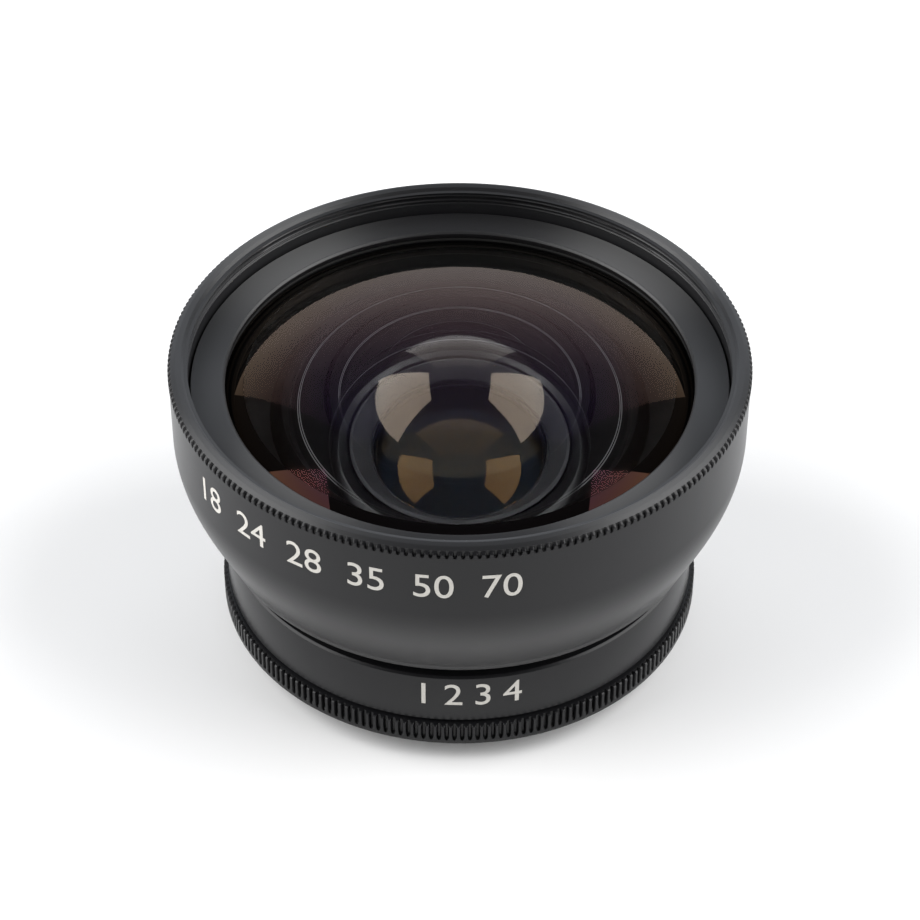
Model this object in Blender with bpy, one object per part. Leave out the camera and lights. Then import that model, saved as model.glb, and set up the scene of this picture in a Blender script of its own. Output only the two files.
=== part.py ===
"""Wide-angle conversion lens with a screw-on macro section, standing on its rear thread.

Two turned housings share one optical axis, which is +Z here. The macro section is at the bottom and
carries the male camera thread. The wide-angle section is screwed into its front and carries the big
front element. Fine screw threads are left plain, at the radius of their crests or roots.
"""
from collections import namedtuple
from math import asin, cos, pi, sin, sqrt

import bmesh
import bpy

MM = 0.001

# Clearances
FIT = 0.3 * MM                  # between two mating faces
THREAD_FIT = 0.3 * MM           # radial, between a male and a female thread

# Standard threads, as diameters
CAMERA_THREAD = 58.0 * MM       # male at the rear of both sections, female in the macro section's front
FILTER_THREAD = 72.0 * MM       # female in the front rim
THREAD_DEPTH = 0.45 * MM        # radial height of the thread form
THREAD_CHAMFER = 0.35 * MM      # lead-in at the end of a male thread

# Macro section, from its rear end upwards
MOUNT_THREAD_LENGTH = 3.0 * MM
MACRO_LEDGE_HEIGHT = 1.2 * MM   # ledge under the glass, above the rear flange
MACRO_GLASS_EDGE = 2.7 * MM
MACRO_RING_HEIGHT = 1.8 * MM
MACRO_RING_DEPTH = 1.6 * MM     # ring below the floor of the socket
SOCKET_DEPTH = 3.8 * MM         # female thread that takes the wide-angle section
GRIP_HEIGHT = 3.3 * MM          # toothed grip above the rear flange
GROOVE_HEIGHT = 0.6 * MM        # groove above the grip

# Macro section, radial
MACRO_WALL = 3.5 * MM           # from the camera thread to the crests of the grip teeth
GRIP_TOOTH_DEPTH = 0.55 * MM
GRIP_CHAMFER = 0.15 * MM
GRIP_LIP = 0.7 * MM             # plain band below the teeth
GRIP_RUN_OUT = 0.15 * MM        # height over which the teeth fade out above that band
GRIP_UNDERCUT = 0.9 * MM        # the flat rear face starts this far inside the crests
BAND_STEP = 0.7 * MM            # the plain band is this much smaller than the grip
BAND_CHAMFER = 0.3 * MM
GROOVE_DEPTH = 0.55 * MM
MACRO_GLASS_WALL = 2.1 * MM     # from the camera thread in to the bore that holds the glass
MACRO_LEDGE_WIDTH = 1.7 * MM
MACRO_RING_STEP = 1.0 * MM      # the ring's bore is this much wider than the glass bore
MACRO_RING_OVERLAP = 1.0 * MM   # how far the ring covers the glass
MACRO_FRONT_CURVE = 110.0 * MM
MACRO_REAR_CURVE = 200.0 * MM

# Wide-angle section, outer form
NECK_WIDTH = 1.0 * MM           # neck beyond the camera thread
NECK_HEIGHT = 2.0 * MM
SOCKET_RELIEF = 0.7 * MM        # rear thread ends this far above the floor of the socket
BOWL_FOOT_STEP = 4.15 * MM      # lowest edge of the bowl beyond the camera thread
BOWL_FOOT_ROUND = 0.8 * MM
BOWL_HEIGHT = 14.2 * MM         # curved flank, from the lower edge to the straight wall
BOWL_LEAN = 0.47                # inward run per unit of height at the lower edge
BOWL_FOOT_PULL = 0.39           # share of the height over which the lean holds
BOWL_TOP_PULL = 0.32            # share of the height over which the flank stays upright
WALL_HEIGHT = 9.45 * MM         # straight wall, from the bowl to the teeth of the rim
RIM_WALL = 2.0 * MM             # from the filter thread to the straight wall
RIM_PROUD = 0.1 * MM            # tooth crests beyond the straight wall
RIM_RUN_OUT = 0.3 * MM          # height over which the teeth fade out on the wall
RIM_TOOTH_HEIGHT = 0.35 * MM    # teeth of full depth, above the run-out
RIM_TOOTH_DEPTH = 0.4 * MM      # also the chamfer across the tops of the teeth
RIM_SHOULDER_HEIGHT = 0.25 * MM
RIM_SHOULDER_WIDTH = 0.55 * MM  # smooth sloped shoulder inside the teeth
RIM_LEAD_IN = 0.35 * MM         # chamfer from the flat top face to the filter thread

# Wide-angle section, front element with its ring and seal
RING_TOP_DEPTH = 3.7 * MM       # retaining ring below the top face of the rim
RING_HEIGHT = 1.5 * MM
RING_BEVEL = 0.3 * MM
RING_LAND = 3.8 * MM            # step from the filter thread's bore in to the glass bore
RING_OVERLAP = 0.65 * MM
SEAL_INSET = 0.15 * MM          # seal behind the edge of the ring's opening
SEAL_WIDTH = 0.6 * MM
SEAL_HEIGHT = 0.4 * MM
FRONT_GLASS_EDGE = 11.2 * MM
FRONT_GLASS_MIDDLE = 1.5 * MM
FRONT_CURVE = 73.0 * MM         # its middle stands above the rim
FRONT_HOLLOW_RADIUS = 22.6 * MM  # edge of the deep hollow in the back of the front element
FRONT_GLASS_BEVEL = 0.8 * MM    # ground bevel round its rear edge

# Wide-angle section, rear element, baffle and rear ring
REAR_GLASS_RADIUS = 17.6 * MM
REAR_GLASS_EDGE = 2.0 * MM
REAR_GLASS_LAND = 1.7 * MM      # flat land round the domed front face
REAR_FRONT_CURVE = 45.0 * MM
REAR_BACK_CURVE = 120.0 * MM
REAR_RING_STEP = 1.3 * MM       # the ring's bore is this much wider than the glass bore
REAR_RING_HEIGHT = 1.6 * MM
REAR_RING_OVERLAP = 1.6 * MM
REAR_RING_DEPTH = 0.2 * MM      # ring above the end of its barrel
WEB_HEIGHT = 1.4 * MM           # ledge between the rear element and the baffle
BAFFLE_WALL = 2.8 * MM          # at its foot
BAFFLE_LIP = 0.6 * MM           # at its top
BAFFLE_STEP = 1.7 * MM          # the baffle is this much wider than the rear element
BAFFLE_DEPTH = 1.95 * MM        # top of the baffle below the seat of the front element
SEAT_FLARE = 1.3 * MM           # opening of that seat, beyond the bore of the baffle
BARREL_WALL = 1.7 * MM
BARREL_DEPTH = 0.6 * MM         # end of the barrel above the end of the rear thread
STUB_WALL = 1.7 * MM
RELIEF_HEIGHT = 2.4 * MM        # straight part of the hollow between barrel and rear thread
RELIEF_SLOPE = 2.0 * MM         # rise of that hollow towards the barrel

# Spanner notches in two of the retaining rings
NOTCH_WIDTH = 2.2 * MM
NOTCH_DEPTH = 0.9 * MM
NOTCH_REACH = 1.3 * MM          # radial, from the ring's opening

# Facets
SHELL_SEGMENTS = 48
RIM_TEETH_PER_SEGMENT = 5       # 240 teeth
MACRO_SEGMENTS = 40
GRIP_TEETH_PER_SEGMENT = 5      # 200 teeth
RING_SEGMENTS = 40
DOME_STEPS = 4
HOLLOW_STEPS = 7
BOWL_STEPS = 6
ROUND_STEPS = 2

# Heights of the macro section
MALE_RADIUS = CAMERA_THREAD / 2.0 - THREAD_FIT
FLANGE_HEIGHT = MOUNT_THREAD_LENGTH
MACRO_LEDGE = FLANGE_HEIGHT + MACRO_LEDGE_HEIGHT
MACRO_GLASS_BOTTOM = MACRO_LEDGE + FIT
MACRO_GLASS_TOP = MACRO_GLASS_BOTTOM + MACRO_GLASS_EDGE
MACRO_RING_BOTTOM = MACRO_GLASS_TOP + FIT
MACRO_RING_TOP = MACRO_RING_BOTTOM + MACRO_RING_HEIGHT
SOCKET_FLOOR = MACRO_RING_TOP + MACRO_RING_DEPTH
MACRO_TOP = SOCKET_FLOOR + SOCKET_DEPTH
GRIP_TOP = FLANGE_HEIGHT + GRIP_HEIGHT
GROOVE_TOP = GRIP_TOP + GROOVE_HEIGHT

# Radii of the macro section
GRIP_RADIUS = CAMERA_THREAD / 2.0 + MACRO_WALL
BAND_RADIUS = GRIP_RADIUS - BAND_STEP
GROOVE_RADIUS = BAND_RADIUS - GROOVE_DEPTH
MACRO_GLASS_BORE = CAMERA_THREAD / 2.0 - MACRO_GLASS_WALL
MACRO_OPENING = MACRO_GLASS_BORE - MACRO_LEDGE_WIDTH
MACRO_GLASS_RADIUS = MACRO_GLASS_BORE - FIT
MACRO_RING_BORE = MACRO_GLASS_BORE + MACRO_RING_STEP
MACRO_RING_OPENING = MACRO_GLASS_RADIUS - MACRO_RING_OVERLAP

# Heights of the wide-angle section, outside
SHOULDER = MACRO_TOP + FIT
STUB_END = SOCKET_FLOOR + SOCKET_RELIEF
NECK_TOP = SHOULDER + NECK_HEIGHT
BOWL_FOOT = NECK_TOP + BOWL_FOOT_ROUND
BOWL_TOP = BOWL_FOOT + BOWL_HEIGHT
TEETH_FOOT = BOWL_TOP + WALL_HEIGHT
TEETH_TOP = TEETH_FOOT + RIM_RUN_OUT + RIM_TOOTH_HEIGHT
SHOULDER_FOOT = TEETH_TOP + RIM_TOOTH_DEPTH
RIM_TOP = SHOULDER_FOOT + RIM_SHOULDER_HEIGHT

# Radii of the wide-angle section, outside
BOWL_FOOT_RADIUS = CAMERA_THREAD / 2.0 + BOWL_FOOT_STEP
WALL_RADIUS = FILTER_THREAD / 2.0 + RIM_WALL
CREST_RADIUS = WALL_RADIUS + RIM_PROUD
VALLEY_RADIUS = CREST_RADIUS - RIM_TOOTH_DEPTH
FILTER_BORE = FILTER_THREAD / 2.0 - THREAD_DEPTH

# Front element, its ring and its seal
RING_TOP = RIM_TOP - RING_TOP_DEPTH
RING_BOTTOM = RING_TOP - RING_HEIGHT
RING_SEAT = RING_BOTTOM - FIT
FRONT_GLASS_TOP = RING_SEAT - FIT
FRONT_GLASS_BOTTOM = FRONT_GLASS_TOP - FRONT_GLASS_EDGE
FRONT_SEAT = FRONT_GLASS_BOTTOM - FIT
FRONT_GLASS_BORE = FILTER_BORE - RING_LAND
FRONT_GLASS_RADIUS = FRONT_GLASS_BORE - FIT
RING_OPENING = FRONT_GLASS_RADIUS - RING_OVERLAP
SEAL_INNER = RING_OPENING + SEAL_INSET
SEAL_OUTER = SEAL_INNER + SEAL_WIDTH

# Rear element, baffle and rear ring
BARREL_END = STUB_END + BARREL_DEPTH
REAR_RING_BOTTOM = BARREL_END + REAR_RING_DEPTH
REAR_RING_TOP = REAR_RING_BOTTOM + REAR_RING_HEIGHT
REAR_GLASS_BOTTOM = REAR_RING_TOP + FIT
REAR_GLASS_TOP = REAR_GLASS_BOTTOM + REAR_GLASS_EDGE
WEB_BOTTOM = REAR_GLASS_TOP + FIT
WEB_TOP = WEB_BOTTOM + WEB_HEIGHT
BAFFLE_BOTTOM = WEB_TOP + FIT
BAFFLE_TOP = FRONT_SEAT - BAFFLE_DEPTH
REAR_GLASS_BORE = REAR_GLASS_RADIUS + FIT
REAR_DOME_RADIUS = REAR_GLASS_RADIUS - REAR_GLASS_LAND
WEB_OPENING = REAR_DOME_RADIUS + FIT
REAR_RING_BORE = REAR_GLASS_BORE + REAR_RING_STEP
REAR_RING_OPENING = REAR_GLASS_RADIUS - REAR_RING_OVERLAP
BAFFLE_RADIUS = REAR_GLASS_RADIUS + BAFFLE_STEP
BAFFLE_BORE = BAFFLE_RADIUS + FIT
SEAT_OPENING = BAFFLE_BORE + SEAT_FLARE
BARREL_RADIUS = REAR_RING_BORE + BARREL_WALL
STUB_BORE = MALE_RADIUS - STUB_WALL

Station = namedtuple("Station", "radius height share notch", defaults=(1, 0.0))


def toothed(radius, height, teeth, notch):
    """Station with a crest and a valley for each tooth."""
    return Station(radius, height, 2 * teeth, notch)


def ring_of(bm, station, segments):
    """One circle of points, share of them to a segment. Every second one lies deeper by the notch."""
    if station.radius == 0.0:
        return [bm.verts.new((0.0, 0.0, station.height))]
    count = segments * station.share
    points = []
    for i in range(count):
        angle = 2.0 * pi * i / count
        radius = station.radius - (station.notch if i % 2 else 0.0)
        points.append(bm.verts.new((radius * cos(angle), radius * sin(angle), station.height)))
    return points


def skin(bm, upper, lower):
    """Faces between two circles; the finer one has a whole number of points for each of the other's."""
    if len(upper) == len(lower):
        for i in range(len(upper)):
            j = (i + 1) % len(upper)
            bm.faces.new((upper[i], lower[i], lower[j], upper[j]))
        return
    fine, coarse = (upper, lower) if len(upper) > len(lower) else (lower, upper)
    share = len(fine) // len(coarse)
    half = share // 2
    for i in range(len(fine)):
        nearest = coarse[((i + half) // share) % len(coarse)]
        bm.faces.new((fine[i], fine[(i + 1) % len(fine)], nearest))
    if len(coarse) > 1:
        for i in range(len(coarse)):
            changeover = fine[(i * share + share - half) % len(fine)]
            bm.faces.new((coarse[i], changeover, coarse[(i + 1) % len(coarse)]))


def turned(name, stations, segments, material, section):
    """A turned solid. Its profile closes on itself, or starts and ends on the axis."""
    bm = bmesh.new()
    circles = [ring_of(bm, station, segments) for station in stations]
    for upper, lower in zip(circles, circles[1:]):
        skin(bm, upper, lower)
    if len(circles[0]) > 1:
        skin(bm, circles[-1], circles[0])
    bmesh.ops.recalc_face_normals(bm, faces=bm.faces)
    mesh = bpy.data.meshes.new(name)
    bm.to_mesh(mesh)
    bm.free()
    mesh.shade_smooth()
    mesh.set_sharp_from_angle(angle=pi / 6.0)
    mesh.materials.append(material)
    piece = bpy.data.objects.new(name, mesh)
    bpy.context.scene.collection.objects.link(piece)
    piece.parent = section
    return piece


def sag(curve, radius):
    """Height of a spherical cap of the given curve and edge radius."""
    return curve - sqrt(curve * curve - radius * radius)


def curve_for(radius, rise):
    """Spherical radius of a cap with this edge radius and rise."""
    return (radius * radius + rise * rise) / (2.0 * rise)


def dome(curve, radius, edge_height, side, steps=DOME_STEPS):
    """Stations of a spherical face, from its middle to its edge; side is 1 for a rise, -1 for a drop."""
    stations = []
    for i in range(steps + 1):
        reach = curve * sin(asin(radius / curve) * i / steps)
        rise = sag(curve, radius) - sag(curve, reach)
        stations.append(Station(reach, edge_height + side * rise))
    return stations


def bezier(start, first, second, end, steps):
    """Stations on a cubic curve between two (radius, height) ends, both included."""
    stations = []
    for i in range(steps + 1):
        t = i / steps
        weights = ((1 - t) ** 3, 3 * t * (1 - t) ** 2, 3 * t * t * (1 - t), t ** 3)
        corners = (start, first, second, end)
        radius = sum(weight * corner[0] for weight, corner in zip(weights, corners))
        height = sum(weight * corner[1] for weight, corner in zip(weights, corners))
        stations.append(Station(radius, height))
    return stations


def finish(name, colour, roughness, metallic, transmission=0.0):
    """A Principled material of one colour."""
    material = bpy.data.materials.new(name)
    material.use_nodes = True
    shader = material.node_tree.nodes["Principled BSDF"]
    shader.inputs["Base Color"].default_value = (*colour, 1.0)
    shader.inputs["Roughness"].default_value = roughness
    shader.inputs["Metallic"].default_value = metallic
    shader.inputs["Transmission Weight"].default_value = transmission
    material.diffuse_color = (*colour, 1.0)
    return material


def cut_notches(ring, opening_radius, face_height):
    """Two opposite spanner notches, from the ring's opening outwards, in one of its faces."""
    for number, angle in enumerate((0.0, pi)):
        bm = bmesh.new()
        bmesh.ops.create_cube(bm, size=1.0)
        size = (2.0 * NOTCH_REACH, NOTCH_WIDTH, 2.0 * NOTCH_DEPTH)
        bmesh.ops.scale(bm, vec=size, verts=bm.verts)
        mesh = bpy.data.meshes.new("%s_notch_%d" % (ring.name, number))
        bm.to_mesh(mesh)
        bm.free()
        cutter = bpy.data.objects.new(mesh.name, mesh)
        bpy.context.scene.collection.objects.link(cutter)
        cutter.parent = ring.parent
        cutter.location = (opening_radius * cos(angle), opening_radius * sin(angle), face_height)
        cutter.rotation_euler.z = angle
        cutter.hide_render = True
        cutter.display_type = "WIRE"
        cut = ring.modifiers.new(mesh.name, "BOOLEAN")
        cut.operation = "DIFFERENCE"
        cut.solver = "EXACT"
        cut.object = cutter


def macro_housing(metal, section):
    """Base ring: male thread, rear flange, toothed grip, plain band and the socket in its front."""
    rear_edge = GRIP_RADIUS - GRIP_UNDERCUT
    stations = [
        Station(BAND_RADIUS - BAND_CHAMFER, MACRO_TOP),
        Station(BAND_RADIUS, MACRO_TOP - BAND_CHAMFER),
        Station(BAND_RADIUS, GROOVE_TOP),
        Station(GROOVE_RADIUS, GROOVE_TOP),
        Station(GROOVE_RADIUS, GRIP_TOP),
        toothed(GRIP_RADIUS, GRIP_TOP - GRIP_CHAMFER, GRIP_TEETH_PER_SEGMENT, GRIP_TOOTH_DEPTH),
        toothed(GRIP_RADIUS, FLANGE_HEIGHT + GRIP_LIP + GRIP_RUN_OUT, GRIP_TEETH_PER_SEGMENT,
                GRIP_TOOTH_DEPTH),
        Station(GRIP_RADIUS, FLANGE_HEIGHT + GRIP_LIP, GRIP_TEETH_PER_SEGMENT),
        Station(GRIP_RADIUS, FLANGE_HEIGHT + GRIP_CHAMFER),
        Station(rear_edge, FLANGE_HEIGHT),
        Station(MALE_RADIUS, FLANGE_HEIGHT),
        Station(MALE_RADIUS, THREAD_CHAMFER),
        Station(MALE_RADIUS - THREAD_CHAMFER, 0.0),
        Station(MACRO_OPENING, 0.0),
        Station(MACRO_OPENING, MACRO_LEDGE),
        Station(MACRO_GLASS_BORE, MACRO_LEDGE),
        Station(MACRO_GLASS_BORE, MACRO_GLASS_TOP),
        Station(MACRO_RING_BORE, MACRO_GLASS_TOP),
        Station(MACRO_RING_BORE, SOCKET_FLOOR),
        Station(CAMERA_THREAD / 2.0, SOCKET_FLOOR),
        Station(CAMERA_THREAD / 2.0, MACRO_TOP - BAND_CHAMFER),
        Station(CAMERA_THREAD / 2.0 + BAND_CHAMFER, MACRO_TOP),
    ]
    return turned("macro_housing", stations, MACRO_SEGMENTS, metal, section)


def macro_element(glass, section):
    """Meniscus close-up glass: a domed front face, and a slightly hollow rear face."""
    front = dome(MACRO_FRONT_CURVE, MACRO_RING_OPENING - FIT, MACRO_GLASS_TOP, 1)
    rear = dome(MACRO_REAR_CURVE, MACRO_OPENING - FIT, MACRO_GLASS_BOTTOM, 1)
    edge = [
        Station(MACRO_GLASS_RADIUS, MACRO_GLASS_TOP),
        Station(MACRO_GLASS_RADIUS, MACRO_GLASS_BOTTOM),
    ]
    return turned("macro_element", front + edge + rear[::-1], RING_SEGMENTS, glass, section)


def macro_retaining_ring(metal, section):
    """Threaded ring over the macro glass, with its notches towards the front."""
    radius = MACRO_RING_BORE - THREAD_FIT
    stations = [
        Station(MACRO_RING_OPENING + RING_BEVEL, MACRO_RING_TOP),
        Station(radius, MACRO_RING_TOP),
        Station(radius, MACRO_RING_BOTTOM),
        Station(MACRO_RING_OPENING, MACRO_RING_BOTTOM),
        Station(MACRO_RING_OPENING, MACRO_RING_TOP - RING_BEVEL),
    ]
    ring = turned("macro_retaining_ring", stations, RING_SEGMENTS, metal, section)
    cut_notches(ring, MACRO_RING_OPENING, MACRO_RING_TOP)
    return ring


def front_shell(metal, section):
    """Bowl-shaped housing in one piece, from the toothed rim down to the rear thread."""
    flank = bezier((WALL_RADIUS, BOWL_TOP),
                   (WALL_RADIUS, BOWL_TOP - BOWL_TOP_PULL * BOWL_HEIGHT),
                   (BOWL_FOOT_RADIUS + BOWL_LEAN * BOWL_FOOT_PULL * BOWL_HEIGHT,
                    BOWL_FOOT + BOWL_FOOT_PULL * BOWL_HEIGHT),
                   (BOWL_FOOT_RADIUS, BOWL_FOOT), BOWL_STEPS)
    foot = []
    for i in range(1, ROUND_STEPS + 1):
        turn = pi / 2.0 * i / ROUND_STEPS
        foot.append(Station(BOWL_FOOT_RADIUS - BOWL_FOOT_ROUND * (1.0 - cos(turn)),
                            BOWL_FOOT - BOWL_FOOT_ROUND * sin(turn)))
    rim = [
        Station(FILTER_BORE, RIM_TOP - RIM_LEAD_IN - THREAD_DEPTH),
        Station(FILTER_THREAD / 2.0, RIM_TOP - RIM_LEAD_IN),
        Station(FILTER_THREAD / 2.0 + RIM_LEAD_IN, RIM_TOP),
        Station(VALLEY_RADIUS - RIM_SHOULDER_WIDTH, RIM_TOP),
        Station(VALLEY_RADIUS, SHOULDER_FOOT, RIM_TEETH_PER_SEGMENT),
        toothed(CREST_RADIUS, TEETH_TOP, RIM_TEETH_PER_SEGMENT, RIM_TOOTH_DEPTH),
        toothed(CREST_RADIUS, TEETH_FOOT + RIM_RUN_OUT, RIM_TEETH_PER_SEGMENT, RIM_TOOTH_DEPTH),
        Station(WALL_RADIUS, TEETH_FOOT, RIM_TEETH_PER_SEGMENT),
    ]
    neck = [
        Station(CAMERA_THREAD / 2.0 + NECK_WIDTH, NECK_TOP),
        Station(CAMERA_THREAD / 2.0 + NECK_WIDTH, SHOULDER),
        Station(MALE_RADIUS, SHOULDER),
        Station(MALE_RADIUS, STUB_END + THREAD_CHAMFER),
        Station(MALE_RADIUS - THREAD_CHAMFER, STUB_END),
        Station(STUB_BORE, STUB_END),
        Station(STUB_BORE, STUB_END + RELIEF_HEIGHT),
        Station(BARREL_RADIUS, STUB_END + RELIEF_HEIGHT + RELIEF_SLOPE),
        Station(BARREL_RADIUS, BARREL_END),
    ]
    inside = [
        Station(REAR_RING_BORE, BARREL_END),
        Station(REAR_RING_BORE, REAR_GLASS_BOTTOM),
        Station(REAR_GLASS_BORE, REAR_GLASS_BOTTOM),
        Station(REAR_GLASS_BORE, WEB_BOTTOM),
        Station(WEB_OPENING, WEB_BOTTOM),
        Station(WEB_OPENING, WEB_TOP),
        Station(BAFFLE_BORE, WEB_TOP),
        Station(BAFFLE_BORE, FRONT_SEAT - SEAT_FLARE),
        Station(SEAT_OPENING, FRONT_SEAT),
        Station(FRONT_GLASS_BORE, FRONT_SEAT),
        Station(FRONT_GLASS_BORE, RING_SEAT),
        Station(FILTER_BORE, RING_SEAT),
    ]
    return turned("front_shell", rim + flank + foot + neck + inside, SHELL_SEGMENTS, metal, section)


def front_element(glass, section):
    """Big negative glass: a dome in front, a deep hollow behind and a flat land round it."""
    rise = sag(FRONT_CURVE, FRONT_GLASS_RADIUS)
    hollow_rise = FRONT_GLASS_EDGE + rise - FRONT_GLASS_MIDDLE
    hollow_curve = curve_for(FRONT_HOLLOW_RADIUS, hollow_rise)
    front = dome(FRONT_CURVE, FRONT_GLASS_RADIUS, FRONT_GLASS_TOP, 1)
    hollow = dome(hollow_curve, FRONT_HOLLOW_RADIUS, FRONT_GLASS_BOTTOM, 1, HOLLOW_STEPS)
    edge = [
        Station(FRONT_GLASS_RADIUS, FRONT_GLASS_BOTTOM + FRONT_GLASS_BEVEL),
        Station(FRONT_GLASS_RADIUS - FRONT_GLASS_BEVEL, FRONT_GLASS_BOTTOM),
    ]
    return turned("front_element", front + edge + hollow[::-1], SHELL_SEGMENTS, glass, section)


def front_ring_and_seal(metal, rubber, section):
    """Smooth ring that holds the front element, and the soft seal in the rebate under it."""
    seal_bottom = (FRONT_GLASS_TOP + sag(FRONT_CURVE, FRONT_GLASS_RADIUS)
                   - sag(FRONT_CURVE, SEAL_INNER) + FIT)
    seal_top = seal_bottom + SEAL_HEIGHT
    rebate = seal_top + FIT
    radius = FILTER_BORE - THREAD_FIT
    ring = [
        Station(RING_OPENING + RING_BEVEL, RING_TOP),
        Station(radius, RING_TOP),
        Station(radius, RING_BOTTOM),
        Station(SEAL_OUTER + FIT, RING_BOTTOM),
        Station(SEAL_OUTER + FIT, rebate),
        Station(RING_OPENING, rebate),
        Station(RING_OPENING, RING_TOP - RING_BEVEL),
    ]
    seal = [
        Station(SEAL_INNER, seal_top),
        Station(SEAL_OUTER, seal_top),
        Station(SEAL_OUTER, seal_bottom),
        Station(SEAL_INNER, seal_bottom),
    ]
    turned("front_retaining_ring", ring, SHELL_SEGMENTS, metal, section)
    turned("front_seal", seal, SHELL_SEGMENTS, rubber, section)


def inner_baffle(metal, section):
    """Tapered ring that shades the rear element."""
    stations = [
        Station(BAFFLE_RADIUS - BAFFLE_LIP, BAFFLE_TOP),
        Station(BAFFLE_RADIUS, BAFFLE_TOP),
        Station(BAFFLE_RADIUS, BAFFLE_BOTTOM),
        Station(BAFFLE_RADIUS - BAFFLE_WALL, BAFFLE_BOTTOM),
    ]
    return turned("inner_baffle", stations, RING_SEGMENTS, metal, section)


def rear_element(glass, section):
    """Positive glass at the back of the wide-angle section, strongly domed in front."""
    front = dome(REAR_FRONT_CURVE, REAR_DOME_RADIUS, REAR_GLASS_TOP, 1)
    rear = dome(REAR_BACK_CURVE, REAR_RING_OPENING - FIT, REAR_GLASS_BOTTOM, -1)
    edge = [
        Station(REAR_GLASS_RADIUS, REAR_GLASS_TOP),
        Station(REAR_GLASS_RADIUS, REAR_GLASS_BOTTOM),
    ]
    return turned("rear_element", front + edge + rear[::-1], RING_SEGMENTS, glass, section)


def rear_retaining_ring(metal, section):
    """Threaded ring behind the rear element, with its notches towards the rear."""
    radius = REAR_RING_BORE - THREAD_FIT
    stations = [
        Station(REAR_RING_OPENING, REAR_RING_TOP),
        Station(radius, REAR_RING_TOP),
        Station(radius, REAR_RING_BOTTOM),
        Station(REAR_RING_OPENING + RING_BEVEL, REAR_RING_BOTTOM),
        Station(REAR_RING_OPENING, REAR_RING_BOTTOM + RING_BEVEL),
    ]
    ring = turned("rear_retaining_ring", stations, RING_SEGMENTS, metal, section)
    cut_notches(ring, REAR_RING_OPENING, REAR_RING_BOTTOM)
    return ring


def section_axis(name):
    """Empty on the optical axis that carries the pieces of one section."""
    empty = bpy.data.objects.new(name, None)
    bpy.context.scene.collection.objects.link(empty)
    return empty


def main():
    for thing in list(bpy.data.objects):
        bpy.data.objects.remove(thing, do_unlink=True)
    shell_metal = finish("black_anodised_shell", (0.030, 0.030, 0.032), 0.38, 0.7)
    ring_metal = finish("black_anodised_rings", (0.022, 0.022, 0.024), 0.5, 0.6)
    glass = finish("coated_glass", (0.80, 0.86, 0.88), 0.02, 0.0, 1.0)
    rubber = finish("black_rubber", (0.012, 0.012, 0.012), 0.75, 0.0)

    macro = section_axis("macro_section_axis")
    macro_housing(shell_metal, macro)
    macro_element(glass, macro)
    macro_retaining_ring(ring_metal, macro)

    wide = section_axis("wide_section_axis")
    front_shell(shell_metal, wide)
    front_element(glass, wide)
    front_ring_and_seal(ring_metal, rubber, wide)
    inner_baffle(ring_metal, wide)
    rear_element(glass, wide)
    rear_retaining_ring(ring_metal, wide)


main()
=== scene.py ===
"""Looks of the wide-angle conversion lens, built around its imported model.

Each turned piece is made again with fine teeth, screw threads, rounded edges and coated glass, and
stands in a white studio. Profiles are in millimetres, and circle() turns them into metres.
"""
from collections import namedtuple
from math import asin, cos, pi, radians, sin, sqrt

import bpy
import numpy as np
from mathutils import Matrix, Vector


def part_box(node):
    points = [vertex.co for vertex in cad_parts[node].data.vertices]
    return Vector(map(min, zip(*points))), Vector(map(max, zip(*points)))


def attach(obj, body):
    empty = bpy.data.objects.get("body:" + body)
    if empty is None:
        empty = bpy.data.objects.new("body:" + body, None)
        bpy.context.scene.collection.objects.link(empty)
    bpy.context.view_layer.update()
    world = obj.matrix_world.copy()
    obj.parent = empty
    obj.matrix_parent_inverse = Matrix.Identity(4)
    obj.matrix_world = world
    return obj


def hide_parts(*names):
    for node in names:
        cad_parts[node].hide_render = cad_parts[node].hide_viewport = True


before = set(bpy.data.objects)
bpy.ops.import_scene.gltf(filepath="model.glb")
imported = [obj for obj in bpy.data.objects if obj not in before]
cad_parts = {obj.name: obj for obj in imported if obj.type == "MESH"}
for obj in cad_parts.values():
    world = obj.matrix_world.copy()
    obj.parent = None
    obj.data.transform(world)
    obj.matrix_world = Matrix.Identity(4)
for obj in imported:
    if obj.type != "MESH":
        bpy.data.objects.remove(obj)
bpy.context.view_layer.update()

MM = 0.001

# Camera of the photograph
PHOTO_SIDE = 920.0              # pixels
FOCAL_PIXELS = 2973.84
SENSOR_WIDTH = 36.0
CAMERA_DISTANCE = 400.0
CAMERA_ELEVATION = 41.344       # degrees
CAMERA_ROLL = 0.256             # degrees
CLIP_START = 0.01               # metres
AIM = (0.060, 0.0, 24.017)

# Sizes shared with the model, in millimetres
FIT = 0.3
CAMERA_THREAD = 58.0
FILTER_THREAD = 72.0
THREAD_DEPTH = 0.45
THREAD_PITCH = 0.75
THREAD_CHAMFER = 0.35
NECK_WIDTH = 1.0
NECK_HEIGHT = 2.0
SOCKET_DEPTH = 3.8
BOWL_FOOT_STEP = 4.15
BOWL_FOOT_ROUND = 0.8
BOWL_HEIGHT = 14.2
BOWL_LEAN = 0.47
BOWL_FOOT_PULL = 0.39
BOWL_TOP_PULL = 0.32
RIM_PROUD = 0.1
RIM_RUN_OUT = 0.3
RIM_TOOTH_HEIGHT = 0.35
RIM_TOOTH_DEPTH = 0.4
RIM_SHOULDER_HEIGHT = 0.25
RIM_SHOULDER_WIDTH = 0.55
RIM_LEAD_IN = 0.35
FRONT_CURVE = 73.0
FRONT_GLASS_MIDDLE = 1.5
FRONT_HOLLOW_RADIUS = 22.6
FRONT_GLASS_BEVEL = 0.8
RING_BEVEL = 0.3
REAR_GLASS_LAND = 1.7
REAR_GLASS_EDGE = 2.0
REAR_FRONT_CURVE = 45.0
REAR_BACK_CURVE = 120.0
REAR_RING_STEP = 1.3
REAR_RING_OVERLAP = 1.6
REAR_RING_DEPTH = 0.2
WEB_HEIGHT = 1.4
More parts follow.
